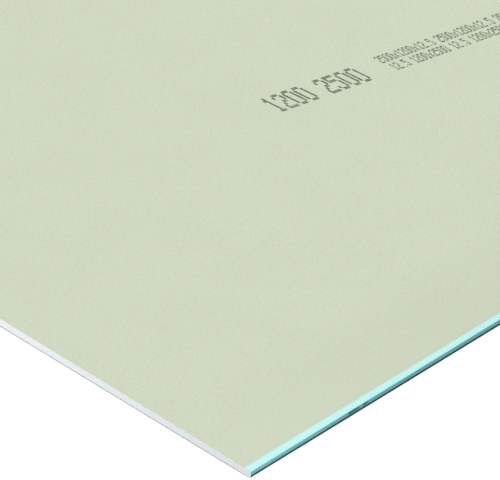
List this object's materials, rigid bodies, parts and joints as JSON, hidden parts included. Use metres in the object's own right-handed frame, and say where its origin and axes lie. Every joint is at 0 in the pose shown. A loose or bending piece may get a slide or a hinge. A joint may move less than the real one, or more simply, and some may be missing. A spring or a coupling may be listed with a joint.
{
  "type": "drywall sheet",
  "caption": "Flat sheet of moisture-resistant drywall: white gypsum core with square-cut ends, green face paper wrapping the tapered, rounded long edges, and a grey paper back.",
  "frame": {"origin": "under the middle of the sheet, on the outer surface of the back paper that it lies on", "axes": "+X along the sheet's length, +Y across its width, +Z out of its finished face"},
  "size_m": [2.5, 1.2, 0.0125],
  "materials": {
    "gypsum": "matte",
    "green_paper": "matte",
    "grey_paper": "matte"
  },
  "bodies": {
    "root": {"gypsum_core": "gypsum", "face_paper": "green_paper", "back_paper": "grey_paper"}
  },
  "joints": []
}
